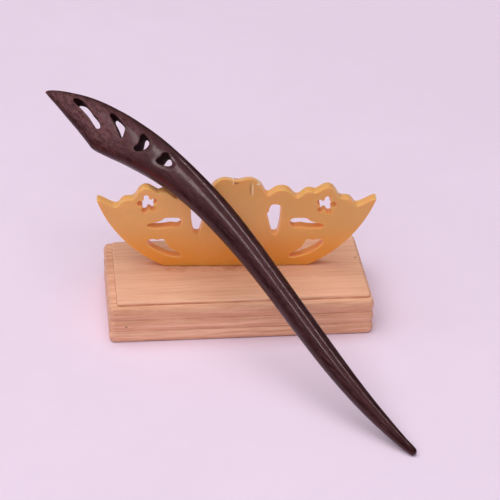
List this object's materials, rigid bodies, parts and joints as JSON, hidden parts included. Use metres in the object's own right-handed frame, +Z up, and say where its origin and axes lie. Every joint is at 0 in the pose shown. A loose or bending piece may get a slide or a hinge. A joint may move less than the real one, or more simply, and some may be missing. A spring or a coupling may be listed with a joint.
{
  "type": "hair stick with display stand",
  "caption": "Carved wooden hair stick with a pierced blade, leaning on an upright cloud-edged resin plate that stands on a ribbed wooden block.",
  "frame": {"origin": "centre of the block's flat underside", "axes": "+Z up, +X along the block to the viewer's right, +Y away from the viewer; the tip of the stick points towards -Y and +X"},
  "size_m": [0.1061, 0.1329, 0.0605],
  "materials": {
    "block_wood": "pale softwood, smooth, satin",
    "plate_resin": "translucent honey coloured resin, satin",
    "stick_wood": "dark brown hardwood, hand polished"
  },
  "bodies": {
    "root": {"stand_block": "block_wood", "stand_plate": "plate_resin", "hair_stick": "stick_wood"}
  },
  "joints": []
}
